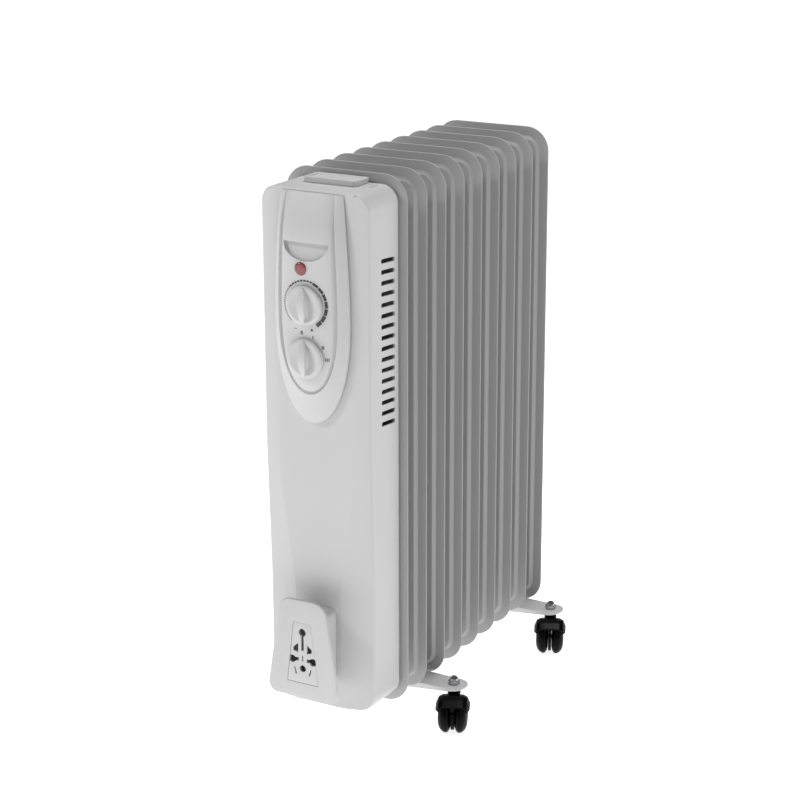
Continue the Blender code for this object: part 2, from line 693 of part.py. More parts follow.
def bracket_outline(inset):
    """Plan of a bracket: widest in the middle, with round ends about the castor stems."""
    radius, waist = BRACKET_END - inset, BRACKET_HALF - inset
    right = arc((STEM_X, 0), radius, -80, 80, 8)
    left = [(-x, -y) for x, y in right]
    return right + [(0.035, waist), (-0.035, waist)] + left + [(-0.035, -waist), (0.035, -waist)]


def flat_plate(outline, low, high, y):
    """Outline in X and Y made solid between two levels."""
    turn = Matrix.Rotation(-math.pi / 2, 4, "X")
    return bake(plate(outline, -high, -low), Matrix.Translation((0, y, 0)) @ turn)


def make_foot(place, y):
    """Pressed bracket under the fins, with a hooked bolt round the header and its wing nut."""
    top, under = BRACKET_Z, BRACKET_Z - BRACKET_SHEET
    bracket = flat_plate(bracket_outline(0), top - BRACKET_SKIRT, top, y)
    boolean(bracket, flat_plate(bracket_outline(BRACKET_SHEET), top - 0.02, under, y))
    fall = math.atan2(BRACKET_SKIRT - SKIRT_END, STEM_X - SKIRT_START)
    slope = Matrix.Translation((SKIRT_START, 0, top - BRACKET_SKIRT)) @ Matrix.Rotation(-fall, 4, "Y")
    for side in (-1, 1):
        wedge = bake(box((0, y - 0.03, -0.04), (0.12, y + 0.03, 0)), slope)
        boolean(bracket, mirrored(wedge) if side < 0 else wedge)
        for x, radius in ((STEM_X, STEM_RADIUS + GAP), (BOLT_HALF, BOLT_WIRE + 0.0005)):
            boolean(bracket, cylinder(radius, under - 0.002, top + 0.002, (side * x, y), "Z", 12))
    finish(bracket, f"{place}_bracket", WHITE_PAINT)

    loop = arc((0, HEADER_LOW_Z), BOLT_HALF, 0, 180, 10)
    route = [(BOLT_HALF, y, under - 0.016)] + [(x, y, z) for x, z in loop]
    route += [(-BOLT_HALF, y, under - 0.0042), (-BOLT_HALF - 0.008, y, under - 0.0042)]
    finish(tube(route, BOLT_WIRE), f"{place}_hook_bolt", STEEL)

    hub_top = under - GAP
    hub = turned([(0, 0), (0.0065, 0), (0.0052, -0.0075), (0, -0.0075)], (BOLT_HALF, y, hub_top), "Z", 12)
    for turn in (0, 180):
        wing = box((-0.001, 0.003, -0.0065), (0.001, 0.0125, 0.0015), 0.0009, 1)
        place_wing = Matrix.Translation((BOLT_HALF, y, hub_top - 0.0055))
        boolean(hub, bake(wing, place_wing @ Matrix.Rotation(math.radians(turn), 4, "Z")), "UNION")
    boolean(hub, cylinder(BOLT_WIRE + GAP, hub_top - 0.012, hub_top + 0.002, (BOLT_HALF, y), "Z", 12))
    finish(hub, f"{place}_wing_nut", STEEL)


make_foot("front", FRONT_FOOT_Y)
make_foot("rear", REAR_FOOT_Y)


# ------------------------------------------------------------------ castors
AXLE_RADIUS, WHEEL_BORE = 0.0025, 0.0030
WHEEL_PROFILE = ((WHEEL_BORE, 0.0152), (0.0062, 0.0162), (0.0112, 0.0156), (0.0154, 0.0136),
                 (0.0184, 0.0106), (WHEEL_RADIUS, 0.0074), (0.0186, 0.0050), (0.0160, 0.0032),
                 (0.0120, 0.0022), (WHEEL_BORE, 0.0022))
HOOD_SHELL = ((0, 0.0184), (0.0134, 0.0184), (0.0196, 0.0156), (0.0219, 0.0110), (0.0221, 0.0065))
HOOD_ROOM = ((0, 0.0171), (0.0124, 0.0171), (0.0182, 0.0143), (0.0204, 0.0104), (0.0206, 0.0060),
             (0.0206, 0.0017), (0, 0.0017))
HOOD_CUT = 0.0095            # the hood covers the wheels above this height over the axle
HOOD_FRONT = 0.0150          # and behind this distance in front of it
NUT_DOME = ((0, 0.0098), (0.0026, 0.0091), (0.0044, 0.0070), (0.0050, 0.0045), (0.0050, 0.0010),
            (0, 0.0010))


def make_axis(name, location, turn=0, parent=None):
    """Empty on an axis, which its pieces are parented to."""
    axis = bpy.data.objects.new(name, None)
    PARTS.objects.link(axis)
    axis.location = location
    axis.rotation_euler.z = math.radians(turn)
    axis.parent = parent
    return axis


def make_cap_nut(place, x, y):
    """Domed nut on top of the bracket, over the end of the stem."""
    nut = cylinder(0.0063, BRACKET_Z + GAP, BRACKET_Z + 0.0045, (x, y), "Z", 6)
    boolean(nut, turned(NUT_DOME, (x, y, BRACKET_Z), "Z", 12), "UNION")
    boolean(nut, cylinder(STEM_RADIUS + GAP, BRACKET_Z - 0.001, BRACKET_Z + 0.0075, (x, y), "Z", 12))
    return finish(smooth(nut), f"{place}_cap_nut", CHROME)


def make_hood(place):
    """Twin shell over both wheels on a web between them, with a socket for the stem."""
    top = BRACKET_Z - BRACKET_SHEET - GAP
    centre = Vector((0, -TRAIL, WHEEL_RADIUS))
    shell = list(HOOD_SHELL) + [(radius, -across) for radius, across in reversed(HOOD_SHELL)]
    hood = turned(shell, centre, "X", 16)
    boolean(hood, box(centre + Vector((-0.03, -0.04, -0.03)), centre + Vector((0.03, 0.04, HOOD_CUT))))
    boolean(hood, box(centre + Vector((-0.03, -0.04, -0.03)), centre + Vector((0.03, -HOOD_FRONT, 0.03))))
    boolean(hood, cylinder(0.0165, -0.0018, 0.0018, centre.yz, "X", 16), "UNION")
    boolean(hood, cylinder(0.0072, 0.0370, top, (0, 0), "Z", 16), "UNION")
    for side in (-1, 1):
        room = turned(HOOD_ROOM, (0, 0, 0), "X", 16)
        room = mirrored(room) if side < 0 else room
        room.location = centre
        boolean(hood, room)
    boolean(hood, cylinder(STEM_RADIUS + GAP, 0.0350, top + 0.002, (0, 0), "Z", 12))
    boolean(hood, cylinder(AXLE_RADIUS + GAP, -0.004, 0.004, centre.yz, "X", 12))
    return finish(smooth(hood), f"{place}_hood", BLACK_PLASTIC)


def make_castor(place, x, y):
    """Twin-wheel castor: fixed stem with cap nut, swivelling hood, axle and two wheels."""
    stem = cylinder(STEM_RADIUS, 0.0375, BRACKET_Z + 0.0072, (x, y), "Z", 12)
    finish(smooth(stem), f"{place}_stem", STEEL)
    make_cap_nut(place, x, y)
    swivel = make_axis(f"{place}_swivel_axis", (x, y, 0), math.copysign(CASTOR_TURN, x))
    spin = make_axis(f"{place}_wheel_axis", (0, -TRAIL, WHEEL_RADIUS), parent=swivel)
    make_hood(place).parent = swivel
    axle = cylinder(AXLE_RADIUS, -0.0150, 0.0150, (-TRAIL, WHEEL_RADIUS), "X", 12)
    finish(smooth(axle), f"{place}_axle", STEEL).parent = swivel
    for label, side in (("left", -1), ("right", 1)):
        wheel = turned(WHEEL_PROFILE, (0, 0, 0), "X", 16, closed=True)
        wheel = mirrored(wheel) if side < 0 else wheel
        finish(smooth(wheel), f"{place}_{label}_wheel", BLACK_PLASTIC).parent = spin


for end, foot_y in (("front", FRONT_FOOT_Y), ("rear", REAR_FOOT_Y)):
    for hand, sign in (("left", -1), ("right", 1)):
        make_castor(f"{end}_{hand}_castor", sign * STEM_X, foot_y)
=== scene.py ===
"""Oil filled radiator heater: nine white painted fins, a moulded casing with the controls, a cord
winder and four twin-wheel castors. Run in Blender 4.5; metres, +Z up, the controls towards -Y.
"""
import json
import math

import bmesh
import bpy
from mathutils import Matrix, Vector


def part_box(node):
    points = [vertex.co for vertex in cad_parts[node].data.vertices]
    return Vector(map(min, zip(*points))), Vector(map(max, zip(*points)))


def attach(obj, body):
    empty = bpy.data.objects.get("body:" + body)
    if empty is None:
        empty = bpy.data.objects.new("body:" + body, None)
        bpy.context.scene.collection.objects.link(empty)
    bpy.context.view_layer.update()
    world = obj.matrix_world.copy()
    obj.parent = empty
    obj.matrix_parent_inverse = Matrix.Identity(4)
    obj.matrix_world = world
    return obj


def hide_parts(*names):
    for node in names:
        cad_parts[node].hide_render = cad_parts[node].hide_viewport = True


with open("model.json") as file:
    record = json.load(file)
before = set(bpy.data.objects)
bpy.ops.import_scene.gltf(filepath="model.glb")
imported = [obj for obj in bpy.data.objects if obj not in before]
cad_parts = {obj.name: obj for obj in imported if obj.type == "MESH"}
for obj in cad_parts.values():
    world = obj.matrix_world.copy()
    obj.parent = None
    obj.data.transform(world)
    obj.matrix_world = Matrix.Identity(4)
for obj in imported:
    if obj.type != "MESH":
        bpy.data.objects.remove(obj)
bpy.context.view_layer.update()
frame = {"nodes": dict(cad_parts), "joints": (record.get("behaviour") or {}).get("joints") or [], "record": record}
nodes = frame["nodes"]

# ------------------------------------------------------------------ studio
# A pale, evenly lit floor under a plain camera. The camera stands right of the heater's front and a
# little above it, so the casing's face, its right side and the edges of all the fins are seen.
CAMERA_PLACE = Vector((1.07895, -1.92162, 1.00683))
CAMERA_AZIMUTH, CAMERA_ELEVATION = 28.88, 16.53
LENS_LENGTH, SENSOR = 95.26, 36.0


def build_studio():
    """Camera, paper, and three soft lights."""
    data = bpy.data.cameras.new("camera")
    data.lens = LENS_LENGTH
    data.sensor_width = SENSOR
    data.shift_x, data.shift_y = -0.0226, -0.0129
    data.clip_start, data.clip_end = 0.05, 200
    camera = bpy.data.objects.new("camera", data)
    bpy.context.scene.collection.objects.link(camera)
    camera.location = CAMERA_PLACE
    camera.rotation_euler = (math.radians(90 - CAMERA_ELEVATION), 0, math.radians(CAMERA_AZIMUTH))
    bpy.context.scene.camera = camera

    bpy.ops.mesh.primitive_plane_add(size=60, location=(0, 0, 0))
    floor = bpy.context.object
    floor.name = "paper_floor"
    paper = bpy.data.materials.new("paper")
    paper.use_nodes = True
    shader = paper.node_tree.nodes["Principled BSDF"]
    shader.inputs["Base Color"].default_value = (0.93, 0.93, 0.93, 1)
    shader.inputs["Roughness"].default_value = 0.9
    shader.inputs["Specular IOR Level"].default_value = 0.1
    shader.inputs["Emission Color"].default_value = (1, 1, 1, 1)
    shader.inputs["Emission Strength"].default_value = 0.88
    floor.data.materials.append(paper)

    lights = (("key", (-2.2, -2.0, 2.6), 0.6, 44), ("side", (3.0, -0.2, 1.9), 0.9, 13),
              ("top", (0.2, 0.4, 3.2), 0.9, 42))
    for name, place, size, power in lights:
        lamp = bpy.data.lights.new(name, "AREA")
        lamp.shape = "DISK"
        lamp.size = size
        lamp.energy = power
        holder = bpy.data.objects.new(name, lamp)
        bpy.context.scene.collection.objects.link(holder)
        holder.location = place
        aim = Vector((0, 0, 0.3)) - Vector(place)
        holder.rotation_euler = aim.to_track_quat("-Z", "Y").to_euler()

    world = bpy.data.worlds.new("studio")
    world.use_nodes = True
    world.node_tree.nodes["Background"].inputs["Color"].default_value = (1, 1, 1, 1)
    world.node_tree.nodes["Background"].inputs["Strength"].default_value = 0.14
    bpy.context.scene.world = world
    bpy.context.scene.view_settings.view_transform = "Standard"


build_studio()

# ------------------------------------------------------------------ finishes
# Every finish is built the same way: an arithmetic of noise on the piece's own coordinates, for
# the small unevenness that paint, mouldings and plating have.


class Value:
    """One output in a finish; sums and products of it add the Math nodes they need."""

    def __init__(self, finish, socket):
        self.finish = finish
        self.socket = socket

    def maths(self, operation, *values):
        """A Math node on two values."""
        return self.finish.node("ShaderNodeMath", {"operation": operation}, dict(enumerate(values)))

    def __add__(self, other):
        return self.maths("ADD", self, other)

    def __radd__(self, other):
        return self.maths("ADD", other, self)

    def __mul__(self, other):
        return self.maths("MULTIPLY", self, other)

    def __rmul__(self, other):
        return self.maths("MULTIPLY", other, self)

    def steps_above(self, low, high):
        """0 below low, 1 above high, and a smooth step between."""
        settings = {"interpolation_type": "SMOOTHSTEP"}
        return self.finish.node("ShaderNodeMapRange", settings, {0: self, 1: low, 2: high})


class Finish:
    """A material whose nodes are added one at a time."""

    def __init__(self, name, **constants):
        self.material = bpy.data.materials.new(name)
        self.material.use_nodes = True
        self.tree = self.material.node_tree
        self.shader = self.tree.nodes["Principled BSDF"]
        for key, value in constants.items():
            self.shader.inputs[key.replace("_", " ")].default_value = value
        self.place = self.node("ShaderNodeTexCoord", {}, {}, "Object")

    def node(self, kind, settings, inputs, output=0):
        """Add a node: its settings first, then the values or links of its sockets."""
        made = self.tree.nodes.new(kind)
        for key, value in settings.items():
            setattr(made, key, value)
        for key, value in inputs.items():
            if isinstance(value, Value):
                self.tree.links.new(value.socket, made.inputs[key])
            else:
                made.inputs[key].default_value = value
        return Value(self, made.outputs[output])

    def noise(self, scale, detail=2.0, stretch=(1, 1, 1)):
        """Noise with a given number of lumps to the metre, which may be stretched."""
        mapped = self.place
        if stretch != (1, 1, 1):
            mapped = self.node("ShaderNodeMapping", {}, {"Vector": self.place, "Scale": stretch})
        return self.node("ShaderNodeTexNoise", {}, {"Vector": mapped, "Scale": scale, "Detail": detail})

    def blend(self, mask, first, second):
        """Colour that goes from first to second with the mask."""
        ends = {"Factor": mask, 6: first if isinstance(first, Value) else (*first, 1),
                7: second if isinstance(second, Value) else (*second, 1)}
        return self.node("ShaderNodeMix", {"data_type": "RGBA"}, ends, 2)

    def feed(self, **sockets):
        for key, value in sockets.items():
            self.tree.links.new(value.socket, self.shader.inputs[key.replace("_", " ")])

    def bump(self, depth, strength, distance):
        """Relief on the surface, its depth in metres at full strength."""
        settings = {"Strength": strength, "Distance": distance, "Height": depth}
        relief = self.node("ShaderNodeBump", {}, settings)
        self.feed(Normal=relief)


def painted_steel(name, colour, shade):
    """Powder coat: satin, with a faint orange peel and slightly uneven gloss."""
    finish = Finish(name, Coat_Weight=0.12, Coat_Roughness=0.25)
    broad, fine = finish.noise(7, 3), finish.noise(420, 2)
    finish.feed(Base_Color=finish.blend(broad, colour, shade), Roughness=0.34 + 0.10 * finish.noise(60, 4))
    finish.bump(fine, 0.12, 0.0004)
    return finish.material


def moulded_plastic(name, colour, shade, roughness=0.40):
    """Injection moulded plastic with a fine spark-eroded grain."""
    finish = Finish(name)
    broad, fine = finish.noise(9, 3), finish.noise(1900, 2)
    finish.feed(Base_Color=finish.blend(broad, colour, shade),
                Roughness=roughness + 0.08 * finish.noise(45, 4))
    finish.bump(fine, 0.10, 0.0002)
    return finish.material


def glossy_black(name):
    """Polished black moulding with a trace of dust on it."""
    finish = Finish(name, Coat_Weight=0.03, Coat_Roughness=0.2, Specular_IOR_Level=0.07)
    dust = finish.noise(240, 6).steps_above(0.52, 0.78)
    finish.feed(Base_Color=finish.blend(dust, (0.0007, 0.0007, 0.0008), (0.0022, 0.0022, 0.0022)),
                Roughness=0.34 + 0.20 * finish.noise(80, 4))
    finish.bump(finish.noise(500, 2), 0.05, 0.0002)
    return finish.material


def plated_steel(name, colour, shade, roughness, stretch=(1, 1, 1)):
    """Plated metal, with fine drawn lines along its stretch."""
    finish = Finish(name, Metallic=1.0)
    lines = finish.noise(700, 3, stretch)
    finish.feed(Base_Color=finish.blend(finish.noise(90, 4), colour, shade),
                Roughness=roughness + 0.15 * lines)
    finish.bump(lines, 0.08, 0.0002)
    return finish.material


# Painted shade: the fins' white paint is given a grey colour, darker than the brackets' copy of the same paint, to
# stand in for the shade between the fins. The brackets' copy is left light.
SHADE_DARKENED_PAINT = painted_steel("powder_coat_with_painted_shade", (0.42, 0.42, 0.42), (0.40, 0.40, 0.40))
UNSHADED_BRACKET_PAINT = painted_steel("bracket_unshaded_paint", (0.80, 0.80, 0.80), (0.76, 0.76, 0.76))
WHITE_PLASTIC = moulded_plastic("white_moulding", (0.63, 0.63, 0.63), (0.605, 0.605, 0.605))
CREAM_PLASTIC = moulded_plastic("cream_moulding", (0.62, 0.56, 0.42), (0.56, 0.50, 0.38), 0.5)
BLACK_PLASTIC = glossy_black("black_moulding")
ZINC = plated_steel("zinc_plate", (0.60, 0.61, 0.63), (0.50, 0.51, 0.54), 0.25, (1, 1, 0.15))
CHROME = plated_steel("chrome_plate", (0.42, 0.42, 0.44), (0.36, 0.36, 0.38), 0.10)


def red_glass():
    """Red polycarbonate over a dark socket, ribbed inside."""
    finish = Finish("red_lens", Coat_Weight=0.6, Coat_Roughness=0.05)
    ribs = finish.node("ShaderNodeTexVoronoi", {}, {"Vector": finish.place, "Scale": 620.0})
    finish.feed(Base_Color=finish.blend(ribs, (0.17, 0.018, 0.022), (0.36, 0.085, 0.085)),
                Roughness=0.16 + 0.1 * finish.noise(300))
    finish.bump(ribs, 0.3, 0.0004)
    return finish.material


RED_LENS = red_glass()
SLOT_FINISHES = {"white_paint": SHADE_DARKENED_PAINT, "white_plastic": WHITE_PLASTIC, "black_plastic": BLACK_PLASTIC,
                 "red_lens": RED_LENS, "chrome": CHROME, "zinc_steel": ZINC, "cream_plastic": CREAM_PLASTIC}
for entry in frame["record"]["subparts"]:
    node = nodes[entry["node"]]
    for place in node.material_slots:
        place.material = SLOT_FINISHES[entry["material_slot"]]
        # The brackets take the light copy of the same white paint, without the fins' painted shade.
        if entry["node"].endswith("bracket"):
            place.material = UNSHADED_BRACKET_PAINT

# ------------------------------------------------------------------ fins
# Each fin is two pressed steel sheets welded round a flat edge, painted white. The middle is
# raised to hold the oil, and a flared collar at the top and bottom is welded to its neighbours'.
FIN_NAMES = [f"fin_{number}" for number in range(1, 10)]
FIN_PITCH = 0.0405
FIN_CORNER, FLANGE_WIDTH, FLANGE_THICK = 0.027, 0.0105, 0.0016
PRESSED_WIDTH, PRESSED_HEIGHT = 0.0030, 0.0037


def start_fresh():
    """Leave edit mode and select nothing."""
    if bpy.context.mode != "OBJECT":
        bpy.ops.object.mode_set(mode="OBJECT")
    bpy.ops.object.select_all(action="DESELECT")


def block(name, low, high):
    """A cube primitive between two corners, its place in its mesh, open in edit mode."""
    start_fresh()
    low, high = Vector(low), Vector(high)
    bpy.ops.mesh.primitive_cube_add(size=1, location=(low + high) / 2)
    piece = bpy.context.object
    piece.name = name
    piece.scale = high - low
    bpy.ops.object.transform_apply(location=True, rotation=True, scale=True)
    bpy.ops.object.mode_set(mode="EDIT")
    return piece


def rod(name, radius, start, end, sides=32):
    """A cylinder primitive between two points, its place in its mesh, open in edit mode."""
    start_fresh()
    start, end = Vector(start), Vector(end)
    bpy.ops.mesh.primitive_cylinder_add(vertices=sides, radius=radius, depth=(end - start).length)
    piece = bpy.context.object
    piece.name = name
    piece.rotation_euler = (end - start).to_track_quat("Z", "Y").to_euler()
    piece.location = (start + end) / 2
    bpy.ops.object.transform_apply(location=True, rotation=True, scale=True)
    bpy.ops.object.mode_set(mode="EDIT")
    return piece


def pick_faces(piece, wanted):
    """In edit mode, select the faces whose middle and normal pass a test."""
    bpy.ops.mesh.select_mode(type="FACE")
    bpy.ops.mesh.select_all(action="DESELECT")
    work = bmesh.from_edit_mesh(piece.data)
    for face in work.faces:
        face.select_set(bool(wanted(face.calc_center_median(), face.normal)))
    bmesh.update_edit_mesh(piece.data)


def pick_edges(piece, wanted):
    """In edit mode, select the edges whose middle, direction and fold pass a test."""
    bpy.ops.mesh.select_mode(type="EDGE")
    bpy.ops.mesh.select_all(action="DESELECT")
    work = bmesh.from_edit_mesh(piece.data)
    work.normal_update()
    for edge in work.edges:
        start, end = (vert.co for vert in edge.verts)
        fold = math.degrees(edge.calc_face_angle(0.0))
        edge.select_set(bool(wanted((start + end) / 2, (end - start).normalized(), fold)))
    bmesh.update_edit_mesh(piece.data)


def round_edges(piece, width, segments, wanted):
    """Bevel the edges that pass a test."""
    pick_edges(piece, wanted)
    bpy.ops.mesh.bevel(offset=width, segments=segments, affect="EDGES", clamp_overlap=True)


def soften(piece, width=0.0, segments=2, fold=30, smooth=40):
    """Leave edit mode, round every sharp edge with a bevel, and shade the piece smooth."""
    start_fresh()
    piece.select_set(True)
    bpy.context.view_layer.objects.active = piece
    if width:
        edges = piece.modifiers.new("edges", "BEVEL")
        edges.width = width
        edges.segments = segments
        edges.limit_method = "ANGLE"
        edges.angle_limit = math.radians(fold)
        bpy.ops.object.modifier_apply(modifier=edges.name)
    bpy.ops.object.shade_smooth_by_angle(angle=math.radians(smooth))
    return piece


def combine(piece, tool, operation="DIFFERENCE"):
    """Join a tool to a piece, or cut the piece with it, and discard the tool."""
    start_fresh()
    piece.select_set(True)
    bpy.context.view_layer.objects.active = piece
    step = piece.modifiers.new("combine", "BOOLEAN")
    step.object = tool
    step.operation = operation
    step.solver = "EXACT"
    bpy.ops.object.modifier_apply(modifier=step.name)
    bpy.data.objects.remove(tool, do_unlink=True)


def settle(piece, finish, body, slot, *replaced):
    """Give a piece its finish and its body, and hide the nodes it stands for. The slot argument is not used."""
    piece.data.materials.clear()
    piece.data.materials.append(finish)
    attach(piece, body)
    if replaced:
        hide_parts(*replaced)
    return piece


def model_collar(name, middle, back, front):
    """One fin's share of a header: flared at the fin, then a pipe to the weld on each side."""
    half = 0.0042
    collar = rod(name, 0.0208, middle - Vector((0, half, 0)), middle + Vector((0, half, 0)), 40)
    for direction, reach in ((-1, front), (1, back)):
        if reach <= half:
            continue
        out = half
        for step, grown in ((0.0012, 0.91), (0.0018, 0.92), (0.0030, 0.965), (None, 1.0),
                            (0.0008, 1.06), (0.0010, 1.0)):
            step = reach - out - 0.0018 if step is None else step
            pick_faces(collar, lambda place, normal: normal.y * direction > 0.99
                       and (place.y - middle.y) * direction > out - 0.0001)
            bpy.ops.mesh.extrude_region_move(TRANSFORM_OT_translate={"value": (0, direction * step, 0)})
            out += step
            bpy.ops.transform.resize(value=(grown, 1, grown),
                                     center_override=(middle.x, middle.y + direction * out, middle.z))
    return soften(collar, smooth=50)


def model_fin(name):
    """Two pressed sheets as one plate: a flat flange, then a step up to the raised middle."""
    low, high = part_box(name)
    index = int(name.split("_")[1])
    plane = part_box("fin_1")[1].y - FIN_PITCH / 2 + 0.00015 + (index - 1) * FIN_PITCH
    fin = block(name + "_sheets", (low.x, plane - FLANGE_THICK / 2, low.z),
                (high.x, plane + FLANGE_THICK / 2, high.z))
    round_edges(fin, FIN_CORNER, 12, lambda place, along, fold: abs(along.y) > 0.99)
    pick_faces(fin, lambda place, normal: abs(normal.y) > 0.99)
    bpy.ops.mesh.inset(thickness=FLANGE_WIDTH, depth=0)
    bpy.ops.mesh.inset(thickness=PRESSED_WIDTH, depth=PRESSED_HEIGHT)
    soften(fin, 0.0013, 3, 20)
    return fin, plane


top_header = (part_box("oil_filler_plug")[0].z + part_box("oil_filler_plug")[1].z) / 2
low_header = (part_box("element_flange")[0].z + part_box("element_flange")[1].z) / 2
# The fins and their collars take the white paint greyed as painted shade.
for name in FIN_NAMES:
    fin, plane = model_fin(name)
    settle(fin, SHADE_DARKENED_PAINT, "root", "white_paint", name)
    front = 0.0108 if name == FIN_NAMES[0] else FIN_PITCH / 2 - 0.0002
    back = 0 if name == FIN_NAMES[-1] else FIN_PITCH / 2 - 0.0002
    for label, level in (("lower", low_header), ("upper", top_header)):
        collar = model_collar(f"{name}_{label}_collar", Vector((0, plane, level)), back, front)
        settle(collar, SHADE_DARKENED_PAINT, "root", "white_paint", name)

# ------------------------------------------------------------------ casing
# One deep white moulding over the front fin. Its face is flat in the middle and falls off to a
# crisp edge; two hollows widen towards the foot and leave a tongue between them. Louvres down
# each side let the warm air out.
FLAT_HALF, FACE_FALL = 0.0445, 0.0035
CASING_CORNER = 0.018
SCOOP_TOP, SCOOP_FULL, TONGUE_HALF, SCOOP_DEPTH = 0.289, 0.139, 0.027, 0.0085
LOUVRE_COUNT, LOUVRE_PITCH, LOUVRE_LENGTH, LOUVRE_HEIGHT = 16, 0.01125, 0.027, 0.0046
LOUVRE_TOP, LOUVRE_DROOP = 0.4885, 4.4
VENT_LEFT, VENT_LENGTH, VENT_WIDTH = 0.0405, 0.0045, 0.0020
VENT_MIDDLES = (-0.1402, -0.1342, -0.1284)
casing_low, casing_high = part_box("control_casing")
fin_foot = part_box("fin_1")[0].z
edge_x, face_y = casing_high.x, casing_low.y


def scoop_tool(side):
    """What is taken from the casing's face on one side: beyond an upright and a slanting plane."""
    tongue = Vector((side * TONGUE_HALF, face_y, fin_foot + SCOOP_FULL))
    apex = Vector((side * edge_x, face_y + FACE_FALL, fin_foot + SCOOP_TOP))
    deep = Vector((side * edge_x, face_y + SCOOP_DEPTH, fin_foot + SCOOP_FULL))
    tool = block("scoop", (side * 0.010, face_y - 0.02, casing_low.z - 0.02),
                 (side * 0.080, face_y + 0.02, 0.38))
    for normal in ((deep - tongue).cross(Vector((0, 0, 1))), (apex - tongue).cross(deep - tongue)):
        outward = (normal if normal.y < 0 else -normal).normalized()
        bpy.ops.mesh.select_all(action="SELECT")
        bpy.ops.mesh.bisect(plane_co=tongue, plane_no=outward, clear_inner=True)
        bpy.ops.mesh.select_mode(type="EDGE")
        bpy.ops.mesh.select_all(action="DESELECT")
        bpy.ops.mesh.select_non_manifold()
        bpy.ops.mesh.edge_face_add()
    bpy.ops.mesh.select_all(action="SELECT")
    bpy.ops.mesh.normals_make_consistent(inside=False)
    bpy.ops.object.mode_set(mode="OBJECT")
    return tool


def model_casing():
    """The shell, shaped from a block, hollowed out, and cut for its louvres and vents."""
    casing = block("casing_shell", casing_low, casing_high)
    round_edges(casing, CASING_CORNER, 10, lambda place, along, fold: abs(along.y) > 0.99)
    for side in (-1, 1):
        bpy.ops.mesh.select_all(action="SELECT")
        bpy.ops.mesh.bisect(plane_co=(side * FLAT_HALF, face_y, 0), use_fill=True, clear_outer=True,
                            plane_no=Vector((side * FACE_FALL, FLAT_HALF - edge_x, 0)).normalized())
    round_edges(casing, 0.012, 4, lambda place, along, fold: abs(along.z) > 0.99 and 5 < fold < 20)
    for side in (-1, 1):
        combine(casing, scoop_tool(side))
    bpy.ops.object.mode_set(mode="EDIT")
    round_edges(casing, 0.004, 3, lambda place, along, fold: 5 < fold < 35 and place.y < face_y + 0.012
                and place.z < fin_foot + SCOOP_TOP + 0.005 and abs(place.x) < edge_x - 0.001)
    round_edges(casing, 0.0045, 5, lambda place, along, fold: fold > 40 and place.y < face_y + 0.02)
    pick_faces(casing, lambda place, normal: normal.y > 0.99)
    bpy.ops.mesh.delete(type="FACE")
    bpy.ops.object.mode_set(mode="OBJECT")
    wall = casing.modifiers.new("wall", "SOLIDIFY")
    wall.thickness = 0.0022
    wall.offset = -1
    bpy.ops.object.modifier_apply(modifier=wall.name)
    slots = []
    middle_y = casing_high.y - 0.0202
    for number in range(LOUVRE_COUNT):
        level = fin_foot + LOUVRE_TOP - number * LOUVRE_PITCH
        slot = block("louvre", (-0.08, middle_y - LOUVRE_LENGTH / 2, level - LOUVRE_HEIGHT / 2),
                     (0.08, middle_y + LOUVRE_LENGTH / 2, level + LOUVRE_HEIGHT / 2))
        round_edges(slot, 0.0016, 3, lambda place, along, fold: abs(along.x) > 0.99)
        bpy.ops.object.mode_set(mode="OBJECT")
        centre = Vector((0, middle_y, level))
        droop = Matrix.Rotation(math.radians(-LOUVRE_DROOP), 4, "X")
        slot.data.transform(Matrix.Translation(centre) @ droop @ Matrix.Translation(-centre))
        slots.append(slot)
    for middle in VENT_MIDDLES:
        slots.append(block("vent", (VENT_LEFT, middle - VENT_WIDTH / 2, casing_high.z - 0.01),
                           (VENT_LEFT + VENT_LENGTH, middle + VENT_WIDTH / 2, casing_high.z + 0.01)))
    for slot in slots:
        combine(casing, slot)
    return soften(casing, smooth=32)


settle(model_casing(), WHITE_PLASTIC, "root", "white_plastic", "control_casing")

# ------------------------------------------------------------------ control panel
# A shield-shaped moulding clipped to the casing's face: a smooth border that rises to a crest,
# a shallow groove inside it, and a crowned middle with a finger recess.
PANEL_TOP, PANEL_LOW, PANEL_WIDE = 0.5575, 0.3216, 0.430
CREST_LOW, CREST_WIDE, SPINE_LOW = 0.3530, 0.440, 0.385
RECESS_LEVEL, RECESS_HALF, RECESS_DROP, RECESS_DEEP = 0.5100, 0.0260, 0.0190, 0.0068
RECESS_SLOPE = 14


def shield(top_half, wide_half, wide, low, power, steps=20):
    """Points of a shield outline, from its upper right corner round the foot to its upper left."""
    right = []
    for k in range(8):
        level = PANEL_TOP + (wide - PANEL_TOP) * k / 8
        rise = (level - wide) / (PANEL_TOP - wide)
        right.append((wide_half - (wide_half - top_half) * rise ** 1.6, level))
    for k in range(steps + 1):
        turn = math.radians(90 * k / steps)
        right.append((wide_half * math.cos(turn), wide - (wide - low) * math.sin(turn) ** (2 / power)))
    return right + [(-x, level) for x, level in reversed(right[:-1])]


